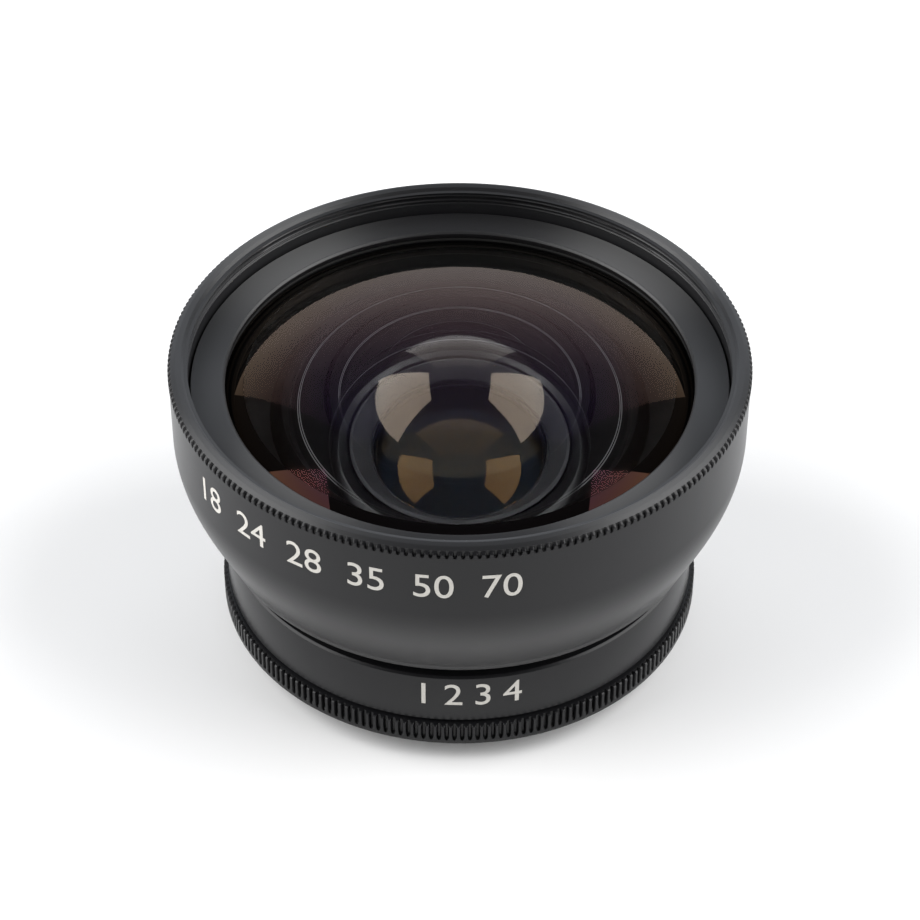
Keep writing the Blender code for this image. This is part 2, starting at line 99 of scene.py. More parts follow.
BAFFLE_WALL = 2.8
BAFFLE_LIP = 0.6
SEAT_FLARE = 1.3
STUB_WALL = 1.7
RELIEF_HEIGHT = 2.4
RELIEF_SLOPE = 2.0
FLANGE_HEIGHT = 3.0
MACRO_LEDGE_HEIGHT = 1.2
MACRO_GLASS_EDGE = 2.7
MACRO_LEDGE_WIDTH = 1.7
MACRO_RING_STEP = 1.0
MACRO_RING_OVERLAP = 1.0
MACRO_FRONT_CURVE = 110.0
MACRO_REAR_CURVE = 200.0
GRIP_HEIGHT = 3.3
GRIP_LIP = 0.7
GRIP_TOOTH_DEPTH = 0.55
GRIP_CHAMFER = 0.15
GRIP_UNDERCUT = 0.9
GROOVE_HEIGHT = 0.6
GROOVE_DEPTH = 0.55
BAND_STEP = 0.7
BAND_CHAMFER = 0.3
NOTCH_WIDTH = 2.2
NOTCH_DEPTH = 0.9
NOTCH_REACH = 1.3

# Finer sizes that the model leaves out
PAINT_HEIGHT = 2.75             # black paint this far up the hollow; the edge's ground lines start here
GROUND_LINE = 0.3               # height of each ground line, and of the paint between them
FILM_EVEN_RADIUS = 19.0         # the front film is even inside this radius and thins outside it
DARK_ZONE_RADIUS = 28.2         # outside it nothing but black paint is seen through the dome
DOME_BEVEL = 0.12
LENS_BEVEL = 0.15
FRONT_RING_OVERLAP = 0.65
SEAL_WIDTH = 0.6
FILTER_THREAD_TURNS = 2.1
FILTER_RUN_OUT = 0.25
SOCKET_RUN_OUT = 0.3

# Fillets of the turned corners
SQUARE = 0.0
HAIRLINE = 0.04
BROKEN = 0.05
CUT = 0.06
FINE = 0.08
ROUND = 0.1
SOFT = 0.12
WIDE = 0.15
RELIEF = 0.3

# Rows that would fall on each other are kept a hair or a sliver apart; nearer than TOUCH is level
TOUCH = 0.001
HAIR = 0.01
SLIVER = 0.05

# A ring's closed profile starts and ends on its top face, this far from its bore
SEAM_START = 0.6
SEAM_END = 0.5

# Fineness of the meshes
RIM_TEETH = 240
GRIP_TEETH = 200
GLASS_COLUMNS = 192
GLASS_STEPS = 40
BOWL_STEPS = 28
BOWL_FOOT_STEPS = 6
FILLET_STEPS = 3
FILLET_SHARE = 0.45             # the most of a side that one fillet takes
THREAD_ROWS_PER_TURN = 12
STRAIGHT_ROWS = 3
RUN_OUT_STEPS = (0.0, 0.5, 0.8, 0.95)
SHARP_ANGLE = radians(32.0)

# One tooth of each knurl, from the middle of a crest to the next: (share of the pitch, share of depth)
TOOTH_CREST = 0.17
TOOTH_OUTLINE = ((0.0, 0.0), (TOOTH_CREST, 0.0), (0.22, 0.12), (0.30, 0.80), (0.36, 1.0),
                 (0.50, 1.0), (0.64, 1.0), (0.70, 0.80), (0.78, 0.12), (1.0 - TOOTH_CREST, 0.0))
TOOTH_END_WIDTH = 0.2           # share of a valley's width that is left at its rounded end
TOOTH_ROOF_SHARES = (0.08, 0.92)        # rows on the sloped top of a rim tooth, as shares of its depth

# One turn of each thread, as shares of half its pitch
THREAD_CREST = 0.2
THREAD_FLANK = 0.55
THREAD_FADE = 6.0               # a thread reaches full depth in one part of this many, at both ends

# Numerals: height on the wall, then the angle of their middle and the angle between first and last
BOWL_NUMERALS = (34.9, -24.0, 64.0)
BAND_NUMERALS = (9.7, 2.3, 21.0)
NUMERAL_SIZE = 5.4
NUMERAL_RELIEF = 0.03
NUMERAL_STEPS = 6

# Colours of the finishes
WHITE = (1.0, 1.0, 1.0)
FLOOR_WHITE = (0.86, 0.86, 0.86)
BLASTED_COLOUR = (0.008, 0.008, 0.009)
TURNED_COLOUR = (0.009, 0.009, 0.010)
INNER_COLOUR = (0.006, 0.006, 0.007)
MATT_COLOUR = (0.055, 0.055, 0.059)
EDGE_COLOUR = (0.004, 0.004, 0.004)
GROUND_COLOUR = (0.34, 0.35, 0.36)
RUBBER_COLOUR = (0.010, 0.010, 0.010)
NUMERAL_COLOUR = (0.56, 0.54, 0.50)
NUMERAL_DARK = (0.50, 0.48, 0.44)
NUMERAL_LIGHT = (0.62, 0.60, 0.56)
DARK_TINT = (0.002, 0.002, 0.002)
# The rear and macro glass colours are painted shade: they dim and tint what is seen through the lens,
# chiefly the shaded floor under it
REAR_PAINTED_SHADE = (0.55, 0.58, 0.58)
MACRO_PAINTED_SHADE = (0.22, 0.25, 0.23)

# Noise of the finishes: (cycles per metre, detail)
ANODISED_CLOUDS = (90.0, 4.0)
BLASTED_GRAIN = (9000.0, 2.0)
TURNED_CLOUDS = (120.0, 4.0)
EDGE_CLOUDS = (400.0, 3.0)
GROUND_CLOUDS = (900.0, 3.0)
RUBBER_CLOUDS = (600.0, 3.0)
RUBBER_GRAIN = (5000.0, 2.0)
NUMERAL_CLOUDS = (2500.0, 3.0)

# Bump of the grains: (height in metres, strength)
BLASTED_BUMP = (0.00001, 0.35)
RUBBER_BUMP = (0.00002, 0.4)

# Films on the glasses: (thickness in nanometres, refractive index)
FRONT_FILM = (119.0, 1.33)
FRONT_FILM_AT_EDGE = 97.0
HOLLOW_FILM = (108.0, 1.45)
REAR_FRONT_FILM = (80.0, 1.30)
REAR_BACK_FILM = (105.0, 1.30)
MACRO_FILM = (125.0, 1.38)
GLASS_IOR = 1.52
FRONT_GLASS_IOR = 1.6

# Studio, in metres and degrees; its light is (share of the height, radiance)
WORLD_LIGHT = 0.10
FLOOR_RADIUS = 3.0
FLOOR_CORNERS = 96
BOX_SIDE = 0.70
BOX_NEAR = -0.56
BOX_WIDTH = 0.85
BOX_HEIGHT = 1.45
BOX_LEAN = 9.0
BOX_LIGHT = ((0.0, 5.0), (1.0, 4.8))
SWEEP_BACK = 1.0
SWEEP_HALF = 0.80
SWEEP_HEIGHT = 2.2
SWEEP_LIGHT = ((0.0, 0.75), (0.18, 1.5), (0.4, 0.8), (1.0, 0.3))
SWEEP_COLOUR = (0.95, 1.0, 1.08)

Reach = namedtuple("Reach", "radius bottom top")
Row = namedtuple("Row", "radius height look teeth depth width ridge", defaults=(0, 0, 0.0, 1.0, 0.0))


def reach(node):
    """Outer radius, bottom and top of a turned node, in millimetres."""
    low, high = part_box(node)
    return Reach(high.x / MM, low.z / MM, high.z / MM)


SHELL = reach("front_shell")
FRONT_GLASS = reach("front_element")
FRONT_RING = reach("front_retaining_ring")
SEAL = reach("front_seal")
BAFFLE = reach("inner_baffle")
REAR_GLASS = reach("rear_element")
REAR_RING = reach("rear_retaining_ring")
HOUSING = reach("macro_housing")
MACRO_GLASS = reach("macro_element")
MACRO_RING = reach("macro_retaining_ring")


# Profiles

def rounded(corners, look=0):
    """Rows along a profile of (radius, height, fillet) corners."""
    rows = []
    for i, (radius, height, fillet) in enumerate(corners):
        if fillet == SQUARE or i == 0 or i == len(corners) - 1:
            rows.append(Row(radius, height, look))
            continue
        here = Vector((radius, height))
        before = Vector(corners[i - 1][:2]) - here
        after = Vector(corners[i + 1][:2]) - here
        start = here + before.normalized() * min(fillet, before.length * FILLET_SHARE)
        end = here + after.normalized() * min(fillet, after.length * FILLET_SHARE)
        for k in range(FILLET_STEPS + 1):
            t = k / FILLET_STEPS
            point = start * (1 - t) ** 2 + here * 2 * t * (1 - t) + end * t ** 2
            rows.append(Row(point.x, point.y, look))
    return rows


def cubic(start, first, second, end, steps, look=0):
    """Rows on a cubic curve between two (radius, height) ends, both included."""
    rows = []
    for i in range(steps + 1):
        t = i / steps
        weights = ((1 - t) ** 3, 3 * t * (1 - t) ** 2, 3 * t * t * (1 - t), t ** 3)
        corners = (start, first, second, end)
        radius = sum(weight * corner[0] for weight, corner in zip(weights, corners))
        height = sum(weight * corner[1] for weight, corner in zip(weights, corners))
        rows.append(Row(radius, height, look))
    return rows


def sag(curve, radius):
    """Height of a spherical cap of the given curve and edge radius."""
    return curve - sqrt(curve * curve - radius * radius)


def dome(curve, radius, edge_height, side, look=0):
    """Rows of a spherical face from its middle to its edge; side is 1 for a rise, -1 for a drop."""
    rows = []
    widest = asin(radius / curve)
    for i in range(GLASS_STEPS + 1):
        turn = widest * i / GLASS_STEPS
        rise = curve * (cos(turn) - cos(widest))
        rows.append(Row(curve * sin(turn), edge_height + side * rise, look))
    return rows


def lens_edge(radius, top, bottom, look):
    """Rows of a lens's straight edge, with a small bevel at each end."""
    return [Row(radius - LENS_BEVEL, top, look), Row(radius, top - LENS_BEVEL, look),
            Row(radius, bottom + LENS_BEVEL, look), Row(radius - LENS_BEVEL, bottom, look)]


def threaded(radius, top, bottom, depth, look=0):
    """Rows of a screw thread between two heights; a negative depth cuts into a bore."""
    count = max(2, round((top - bottom) / THREAD_PITCH * THREAD_ROWS_PER_TURN))
    rows = []
    for i in range(count + 1):
        share = i / count
        fade = min(1.0, THREAD_FADE * share, THREAD_FADE * (1.0 - share))
        rows.append(Row(radius, top + (bottom - top) * share, look, ridge=depth * fade))
    return rows


def knurl(radius, top, bottom, depth, teeth, look=0):
    """Rows of a knurl from full depth at its top to rounded ends at its bottom."""
    straight = (top - bottom - depth) / STRAIGHT_ROWS
    rows = [Row(radius, top - straight * i, look, teeth, depth) for i in range(STRAIGHT_ROWS)]
    for step in RUN_OUT_STEPS:
        width = sqrt(1.0 - step * step)
        rows.append(Row(radius, bottom + depth * (1.0 - step), look, teeth, depth * width, width))
    rows.append(Row(radius, bottom, look, teeth, 0.0, TOOTH_END_WIDTH))
    return rows


# Meshes of the turned pieces

def circle(row, columns):
    """The points of one row, in metres."""
    if row.radius == 0.0:
        return np.array([[0.0, 0.0, row.height * MM]])
    if row.teeth:
        shares = np.array([share for share, _ in TOOTH_OUTLINE])
        in_valley = (shares > TOOTH_CREST) & (shares < 1.0 - TOOTH_CREST)
        shares = 0.5 + (shares - 0.5) * np.where(in_valley, row.width, 1.0)
        depths = np.array([depth for _, depth in TOOTH_OUTLINE]) * row.depth
        turn = (np.arange(row.teeth)[:, None] + shares[None, :]).ravel() * (2 * pi / row.teeth)
        radius = row.radius - np.tile(depths, row.teeth)
    else:
        turn = np.arange(columns) * (2 * pi / columns)
        radius = np.full(columns, row.radius)
        if row.ridge:
            phase = row.height / THREAD_PITCH - turn / (2 * pi)
            wave = np.abs(2.0 * (phase % 1.0) - 1.0)
            radius -= row.ridge * np.clip((wave - THREAD_CREST) / THREAD_FLANK, 0.0, 1.0)
    height = np.full(len(turn), row.height * MM)
    return np.stack([radius * np.cos(turn) * MM, radius * np.sin(turn) * MM, height], axis=1)


def skin(upper, lower):
    """Faces between two circles of point numbers, one a multiple of the other, facing outwards."""
    many, few = len(upper), len(lower)
    if many == few:
        return [(upper[i], lower[i], lower[(i + 1) % few], upper[(i + 1) % many]) for i in range(many)]
    faces = []
    fine, coarse = (upper, lower) if many > few else (lower, upper)
    share = len(fine) // len(coarse)
    for i in range(len(fine)):
        nearest = coarse[((i + share // 2) // share) % len(coarse)]
        pair = (fine[i], fine[(i + 1) % len(fine)])
        faces.append((pair[0], nearest, pair[1]) if many > few else (nearest, pair[0], pair[1]))
    if len(coarse) > 1:
        for i in range(len(coarse)):
            changeover = fine[(i * share + share - share // 2) % len(fine)]
            pair = (coarse[i], coarse[(i + 1) % len(coarse)])
            faces.append((*pair, changeover) if many > few else (pair[0], changeover, pair[1]))
    return faces


def turned(name, rows, columns, looks, body, node):
    """A fine turned piece from the rows of its profile, standing for a node of the model."""
    circles = [circle(row, columns) for row in rows]
    starts = np.cumsum([0] + [len(points) for points in circles])
    numbers = [list(range(starts[i], starts[i + 1])) for i in range(len(rows))]
    pairs = list(zip(range(len(rows)), range(1, len(rows))))
    if len(circles[0]) > 1:
        pairs.append((len(rows) - 1, 0))
    faces, face_looks = [], []
    for a, b in pairs:
        band = skin(numbers[a], numbers[b])
        faces += band
        face_looks += [rows[a].look] * len(band)
    mesh = bpy.data.meshes.new(name)
    mesh.from_pydata(np.concatenate(circles).tolist(), [], faces)
    for material in looks:
        mesh.materials.append(material)
    mesh.polygons.foreach_set("material_index", face_looks)
    mesh.shade_smooth()
    mesh.set_sharp_from_angle(angle=SHARP_ANGLE)
    piece = bpy.data.objects.new(name, mesh)
    bpy.context.scene.collection.objects.link(piece)
    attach(piece, body)
    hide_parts(node)
    return piece


# Materials

def principled(name, colour, roughness):
    """A material and its shader."""
    material = bpy.data.materials.new(name)
    material.use_nodes = True
    shader = material.node_tree.nodes["Principled BSDF"]
    shader.inputs["Base Color"].default_value = (*colour, 1.0)
    shader.inputs["Roughness"].default_value = roughness
    return material, shader


def noise(tree, pattern):
    """Noise in object coordinates, of (cycles per metre, detail); returns its Fac socket."""
    coordinates = tree.nodes.new("ShaderNodeTexCoord")
    texture = tree.nodes.new("ShaderNodeTexNoise")
    texture.inputs["Scale"].default_value, texture.inputs["Detail"].default_value = pattern
    tree.links.new(coordinates.outputs["Object"], texture.inputs["Vector"])
    return texture.outputs["Fac"]


def uneven_roughness(tree, shader, pattern, low, high):
    """Roughness that wanders between two values."""
    remap = tree.nodes.new("ShaderNodeMapRange")
    remap.inputs["To Min"].default_value = low
    remap.inputs["To Max"].default_value = high
    tree.links.new(noise(tree, pattern), remap.inputs["Value"])
    tree.links.new(remap.outputs["Result"], shader.inputs["Roughness"])


def grain_bump(tree, shader, pattern, bump_size):
    """Fine bump from noise, of (height in metres, strength)."""
    bump = tree.nodes.new("ShaderNodeBump")
    bump.inputs["Distance"].default_value, bump.inputs["Strength"].default_value = bump_size
    tree.links.new(noise(tree, pattern), bump.inputs["Height"])
    tree.links.new(bump.outputs["Normal"], shader.inputs["Normal"])


def anodised(name, colour, rough_low, rough_high, gloss=0.5):
    """Black anodised aluminium with a blasted, satin grain."""
    material, shader = principled(name, colour, rough_low)
    shader.inputs["Specular IOR Level"].default_value = gloss
    uneven_roughness(material.node_tree, shader, ANODISED_CLOUDS, rough_low, rough_high)
    grain_bump(material.node_tree, shader, BLASTED_GRAIN, BLASTED_BUMP)
    return material


def lathe_turned(name, colour, rough_low, rough_high, anisotropy, gloss=0.5):
    """Black anodised face over the fine rings that a lathe leaves, which draw its gloss out across them."""
    quarter_turn = 0.25
    material, shader = principled(name, colour, rough_low)
    shader.inputs["Specular IOR Level"].default_value = gloss
    shader.inputs["Anisotropic"].default_value = anisotropy
    shader.inputs["Anisotropic Rotation"].default_value = quarter_turn
    tree = material.node_tree
    tangent = tree.nodes.new("ShaderNodeTangent")
    tangent.direction_type = "RADIAL"
    tangent.axis = "Z"
    tree.links.new(tangent.outputs["Tangent"], shader.inputs["Tangent"])
    uneven_roughness(tree, shader, TURNED_CLOUDS, rough_low, rough_high)
    return material


def coated_glass(name, film, glass_colour=WHITE, ior=GLASS_IOR, clear=1.0):
    """Polished glass under a thin anti-reflection film, dimmed and tinted by its colour, which on the rear
    and macro glass is painted shade; opaque in that colour where clear is 0.
    """
    material, shader = principled(name, glass_colour, 0.0)
    shader.inputs["IOR"].default_value = ior
    shader.inputs["Transmission Weight"].default_value = clear
    shader.inputs["Thin Film Thickness"].default_value, shader.inputs["Thin Film IOR"].default_value = film
    return material


def thinning_film(material, middle, edge):
    """Lets the film on the steep dome thin from its middle to its edge, in nanometres."""
    tree = material.node_tree
    coordinates = tree.nodes.new("ShaderNodeTexCoord")
    flat = tree.nodes.new("ShaderNodeVectorMath")
    flat.operation = "MULTIPLY"
    flat.inputs[1].default_value = (1.0, 1.0, 0.0)
    length = tree.nodes.new("ShaderNodeVectorMath")
    length.operation = "LENGTH"
    remap = tree.nodes.new("ShaderNodeMapRange")
    remap.inputs["From Min"].default_value = FILM_EVEN_RADIUS * MM
    remap.inputs["From Max"].default_value = FRONT_GLASS.radius * MM
    remap.inputs["To Min"].default_value = middle
    remap.inputs["To Max"].default_value = edge
    tree.links.new(coordinates.outputs["Object"], flat.inputs[0])
    tree.links.new(flat.outputs["Vector"], length.inputs[0])
    tree.links.new(length.outputs["Value"], remap.inputs["Value"])
    shader = tree.nodes["Principled BSDF"]
    tree.links.new(remap.outputs["Result"], shader.inputs["Thin Film Thickness"])


def front_coat(name, glass_colour, clear):
    """The front dome's coated face, clear or opaque."""
    material = coated_glass(name, FRONT_FILM, glass_colour, FRONT_GLASS_IOR, clear)
    thinning_film(material, FRONT_FILM[0], FRONT_FILM_AT_EDGE)
    return material


def painted_edge(name):
    """Matt black paint on the ground edge of a lens."""
    material, shader = principled(name, EDGE_COLOUR, 0.8)
    uneven_roughness(material.node_tree, shader, EDGE_CLOUDS, 0.7, 0.9)
    return material


def ground_line(name):
    """Fine ground glass, bare of paint, which scatters the light."""
    material, shader = principled(name, GROUND_COLOUR, 0.45)
    uneven_roughness(material.node_tree, shader, GROUND_CLOUDS, 0.4, 0.55)
    return material


def rubber(name):
    """Soft black seal."""
    material, shader = principled(name, RUBBER_COLOUR, 0.8)
    uneven_roughness(material.node_tree, shader, RUBBER_CLOUDS, 0.7, 0.9)
    grain_bump(material.node_tree, shader, RUBBER_GRAIN, RUBBER_BUMP)
    return material


def paint(name):
    """Off-white paint of the numerals."""
    factor, dark, light, result = 0, 6, 7, 2
    material, shader = principled(name, NUMERAL_COLOUR, 0.5)
    tree = material.node_tree
    mix = tree.nodes.new("ShaderNodeMix")
    mix.data_type = "RGBA"
    mix.inputs[dark].default_value = (*NUMERAL_DARK, 1.0)
    mix.inputs[light].default_value = (*NUMERAL_LIGHT, 1.0)
    tree.links.new(noise(tree, NUMERAL_CLOUDS), mix.inputs[factor])
    tree.links.new(mix.outputs[result], shader.inputs["Base Color"])
    return material


BLASTED = anodised("blasted_black", BLASTED_COLOUR, rough_low=0.27, rough_high=0.33, gloss=0.25)
TURNED_FACE = lathe_turned("turned_black", TURNED_COLOUR, rough_low=0.50, rough_high=0.58,
                           anisotropy=0.95, gloss=0.85)
INNER_BLACK = anodised("inner_black", INNER_COLOUR, rough_low=0.38, rough_high=0.48)
MATT_BLACK = anodised("matt_black", MATT_COLOUR, rough_low=0.55, rough_high=0.70)
FRONT_COAT = front_coat("front_coat", WHITE, clear=1.0)
FRONT_DARK = front_coat("front_dark", DARK_TINT, clear=0.0)
HOLLOW_COAT = coated_glass("hollow_coat", HOLLOW_FILM, ior=FRONT_GLASS_IOR)
# The rear and macro glasses take dark colours: painted shade that dims the view through the lens
REAR_FRONT_COAT = coated_glass("rear_front_coat", REAR_FRONT_FILM, REAR_PAINTED_SHADE)
REAR_BACK_COAT = coated_glass("rear_back_coat", REAR_BACK_FILM, REAR_PAINTED_SHADE)
MACRO_FRONT_COAT = coated_glass("macro_front_coat", MACRO_FILM, MACRO_PAINTED_SHADE)
MACRO_BACK_COAT = coated_glass("macro_back_coat", MACRO_FILM, MACRO_PAINTED_SHADE)
EDGE_PAINT = painted_edge("edge_paint")
GROUND_GLASS = ground_line("ground_bevel")
SEAL_RUBBER = rubber("seal_rubber")
NUMERAL_PAINT = paint("numeral_paint")


# The pieces of the wide-angle section

def front_shell():
    """Bowl-shaped housing from the toothed rim down to its rear thread."""
    face, blasted, inner = 0, 1, 2
    crest = SHELL.radius
    wall = crest - RIM_PROUD
    valley = crest - RIM_TOOTH_DEPTH
    top = SHELL.top
    shoulder_foot = top - RIM_SHOULDER_HEIGHT
    teeth_top = shoulder_foot - RIM_TOOTH_DEPTH
    teeth_foot = teeth_top - RIM_TOOTH_HEIGHT - RIM_RUN_OUT
    lip = valley - RIM_SHOULDER_WIDTH
    major = FILTER_THREAD / 2
    bore = major - THREAD_DEPTH
    male = CAMERA_THREAD / 2 - FIT
    shoulder = HOUSING.top + FIT
    neck_top = shoulder + NECK_HEIGHT
    neck = CAMERA_THREAD / 2 + NECK_WIDTH
    foot_height = neck_top + BOWL_FOOT_ROUND
    foot = CAMERA_THREAD / 2 + BOWL_FOOT_STEP
    bowl_top = foot_height + BOWL_HEIGHT

    rim = rounded([(major, top - RIM_LEAD_IN, SQUARE), (major + RIM_LEAD_IN, top, CUT), (lip, top, FINE),
                   (valley - 2 * HAIR, shoulder_foot, SQUARE)], face)
    rim.append(Row(valley, shoulder_foot - HAIR, face, RIM_TEETH))
    for share in TOOTH_ROOF_SHARES:
        rise = RIM_TOOTH_DEPTH * share
        rim.append(Row(valley + rise, shoulder_foot - rise, blasted, RIM_TEETH, rise))
    rim += knurl(crest, teeth_top - 3 * HAIR, teeth_foot + SLIVER, RIM_TOOTH_DEPTH, RIM_TEETH, blasted)
    rim.append(Row(wall, teeth_foot - SLIVER, blasted, RIM_TEETH, 0.0, TOOTH_END_WIDTH))
    rim.append(Row(wall, teeth_foot - RIM_RUN_OUT, blasted))

    flank = cubic((wall, bowl_top), (wall, bowl_top - BOWL_TOP_PULL * BOWL_HEIGHT),
                  (foot + BOWL_LEAN * BOWL_FOOT_PULL * BOWL_HEIGHT,
                   foot_height + BOWL_FOOT_PULL * BOWL_HEIGHT),
                  (foot, foot_height), BOWL_STEPS, blasted)
    under = []
    for i in range(1, BOWL_FOOT_STEPS + 1):
        turn = pi / 2 * i / BOWL_FOOT_STEPS
        under.append(Row(foot - BOWL_FOOT_ROUND * (1 - cos(turn)),
                         foot_height - BOWL_FOOT_ROUND * sin(turn), blasted))

    stub_end = SHELL.bottom
    neck_rows = rounded([(neck + 4 * SLIVER, neck_top, SQUARE), (neck, neck_top, ROUND),
                         (neck, shoulder, ROUND), (male - THREAD_DEPTH, shoulder, SQUARE)], inner)
    thread = threaded(male, shoulder - SLIVER, stub_end + THREAD_CHAMFER, THREAD_DEPTH, inner)

    barrel = BAFFLE.radius + SEAT_FLARE + FIT
    barrel_end = REAR_RING.bottom - REAR_RING_DEPTH
    stub_bore = male - STUB_WALL
    rear_bore = REAR_GLASS.radius + FIT
    rear_edge = REAR_RING.top + FIT
    web_bottom = rear_edge + REAR_GLASS_EDGE + FIT
    web_top = web_bottom + WEB_HEIGHT
    web_opening = REAR_GLASS.radius - REAR_GLASS_LAND + FIT
    baffle_bore = BAFFLE.radius + FIT
    seat = FRONT_GLASS.bottom - FIT
    glass_bore = FRONT_GLASS.radius + FIT
    ring_seat = FRONT_RING.bottom - FIT
    inside = rounded([
        (male - THREAD_CHAMFER, stub_end, SQUARE),
        (stub_bore, stub_end, ROUND),
        (stub_bore, stub_end + RELIEF_HEIGHT, RELIEF),
        (barrel, stub_end + RELIEF_HEIGHT + RELIEF_SLOPE, RELIEF),
        (barrel, barrel_end, WIDE),
        (rear_bore + REAR_RING_STEP, barrel_end, WIDE),
        (rear_bore + REAR_RING_STEP, rear_edge, SQUARE),
        (rear_bore, rear_edge, BROKEN),
        (rear_bore, web_bottom, SQUARE),
        (web_opening, web_bottom, BROKEN),
        (web_opening, web_top, BROKEN),
        (baffle_bore, web_top, SQUARE),
        (baffle_bore, seat - SEAT_FLARE, ROUND),
        (baffle_bore + SEAT_FLARE, seat, ROUND),
        (glass_bore, seat, SQUARE),
        (glass_bore, ring_seat, BROKEN),
        (bore, ring_seat, SQUARE),
    ], inner)

    groove_top = top - RIM_LEAD_IN - FILTER_THREAD_TURNS * THREAD_PITCH
    bore_rows = rounded([(bore, ring_seat + 2 * HAIR, SQUARE), (bore, groove_top - FILTER_RUN_OUT, BROKEN),
                         (major, groove_top, BROKEN), (major, groove_top + 2 * SLIVER, SQUARE)], inner)
    female = threaded(bore, top - RIM_LEAD_IN - 8 * HAIR, groove_top + 12 * HAIR, -THREAD_DEPTH, inner)
    rows = rim + flank + under + neck_rows + thread + inside + bore_rows + female[::-1]
    turned("shell", rows, RIM_TEETH, [TURNED_FACE, BLASTED, INNER_BLACK], "wide_section",
           "front_shell")


def front_glass():
    """Big front element: a coated dome, a painted edge with two ground lines, and a deep hollow."""
    clear, painted, ground, hollow_look, dark = 0, 1, 2, 3, 4
    radius = FRONT_GLASS.radius
    edge_top = FRONT_GLASS.top - sag(FRONT_CURVE, radius)
    bottom = FRONT_GLASS.bottom
    paint_top = bottom + PAINT_HEIGHT
    middle = FRONT_GLASS.top - FRONT_GLASS_MIDDLE
    rise = middle - bottom
    curve = (FRONT_HOLLOW_RADIUS ** 2 + rise ** 2) / (2 * rise)
    front = dome(FRONT_CURVE, radius - DOME_BEVEL, edge_top + 2 * HAIR, 1, clear)
    front = [row._replace(look=dark) if row.radius > DARK_ZONE_RADIUS else row for row in front]
    front[-1] = front[-1]._replace(look=painted)
    edge = [Row(radius, edge_top - 2 * SLIVER, painted)]
    for step, look in ((3, ground), (2, painted), (1, ground), (0, painted)):
        edge.append(Row(radius, paint_top + step * GROUND_LINE, look))
    edge.append(Row(radius, bottom + FRONT_GLASS_BEVEL, painted))
    edge.append(Row(radius - FRONT_GLASS_BEVEL, bottom, painted))
    hollow = dome(curve, FRONT_HOLLOW_RADIUS, bottom, 1, hollow_look)
    hollow = [row._replace(look=painted) if row.height < paint_top else row for row in hollow]
    turned("front_glass", front + edge + hollow[::-1], GLASS_COLUMNS,
           [FRONT_COAT, EDGE_PAINT, GROUND_GLASS, HOLLOW_COAT, FRONT_DARK],
           "wide_section", "front_element")


def front_ring():
    """Retaining ring with a smooth turned face and a bevelled opening."""
    face, inner = 0, 1
    opening = FRONT_GLASS.radius - FRONT_RING_OVERLAP
    bevel_end = opening + RING_BEVEL
    outer = FRONT_RING.radius
    top = FRONT_RING.top
    bottom = FRONT_RING.bottom
    rebate = SEAL.top + FIT
    rows = rounded([(bevel_end + SEAM_START, top, SQUARE), (outer, top, FINE), (outer, bottom, BROKEN),
                    (SEAL.radius + FIT, bottom, BROKEN), (SEAL.radius + FIT, rebate, SQUARE),
                    (opening, rebate, BROKEN), (opening, top - RING_BEVEL, CUT),
                    (bevel_end, top, BROKEN), (bevel_end + SEAM_END, top, SQUARE)], inner)
    for i, row in enumerate(rows):
        if row.height > top - TOUCH and bevel_end < row.radius < outer:
            rows[i] = row._replace(look=face)
    turned("front_ring", rows, RIM_TEETH, [TURNED_FACE, INNER_BLACK], "wide_section",
           "front_retaining_ring")


def seal():
    """Thin rubber ring under the retaining ring."""
    outer = SEAL.radius
    inner = outer - SEAL_WIDTH
    rows = rounded([(inner + SEAL_WIDTH / 2, SEAL.top, SQUARE), (outer, SEAL.top, SOFT),
                    (outer, SEAL.bottom, SOFT), (inner, SEAL.bottom, SOFT),
                    (inner, SEAL.top, SOFT), (inner + SEAL_WIDTH / 3, SEAL.top, SQUARE)])
    turned("seal", rows, GLASS_COLUMNS, [SEAL_RUBBER], "wide_section", "front_seal")


def baffle():
    """Matt cone between the two elements."""
    outer = BAFFLE.radius
    lip = outer - BAFFLE_LIP
    rows = rounded([(lip + 4 * SLIVER, BAFFLE.top, SQUARE), (outer, BAFFLE.top, FINE),
                    (outer, BAFFLE.bottom, FINE), (outer - BAFFLE_WALL, BAFFLE.bottom, BROKEN),
                    (lip, BAFFLE.top, BROKEN), (lip + 3 * SLIVER, BAFFLE.top, SQUARE)])
    turned("baffle", rows, GLASS_COLUMNS, [MATT_BLACK], "wide_section", "inner_baffle")


def rear_glass():
    """Rear element: a strong dome in front and a weak one behind."""
    clear, painted, rear_look = 0, 1, 2
    low = REAR_RING.top + FIT
    high = low + REAR_GLASS_EDGE
    radius = REAR_GLASS.radius
    front = dome(REAR_FRONT_CURVE, radius - REAR_GLASS_LAND, high, 1, clear)
    back = dome(REAR_BACK_CURVE, radius - REAR_RING_OVERLAP - FIT, low, -1, rear_look)
    front[-1] = front[-1]._replace(look=painted)
    turned("rear_glass", front + lens_edge(radius, high, low, painted) + back[::-1], GLASS_COLUMNS,
           [REAR_FRONT_COAT, EDGE_PAINT, REAR_BACK_COAT],
           "wide_section", "rear_element")


def macro_glass():
    """Weak meniscus of the macro section."""
    clear, painted, rear_look = 0, 1, 2
    radius = MACRO_GLASS.radius
    low = FLANGE_HEIGHT + MACRO_LEDGE_HEIGHT + FIT
    high = low + MACRO_GLASS_EDGE
    opening = radius + FIT - MACRO_LEDGE_WIDTH
    front = dome(MACRO_FRONT_CURVE, radius - MACRO_RING_OVERLAP - FIT, high, 1, clear)
    back = dome(MACRO_REAR_CURVE, opening - FIT, low, 1, rear_look)
    front[-1] = front[-1]._replace(look=painted)
    turned("macro_glass", front + lens_edge(radius, high, low, painted) + back[::-1], GLASS_COLUMNS,
           [MACRO_FRONT_COAT, EDGE_PAINT, MACRO_BACK_COAT],
           "macro_section", "macro_element")


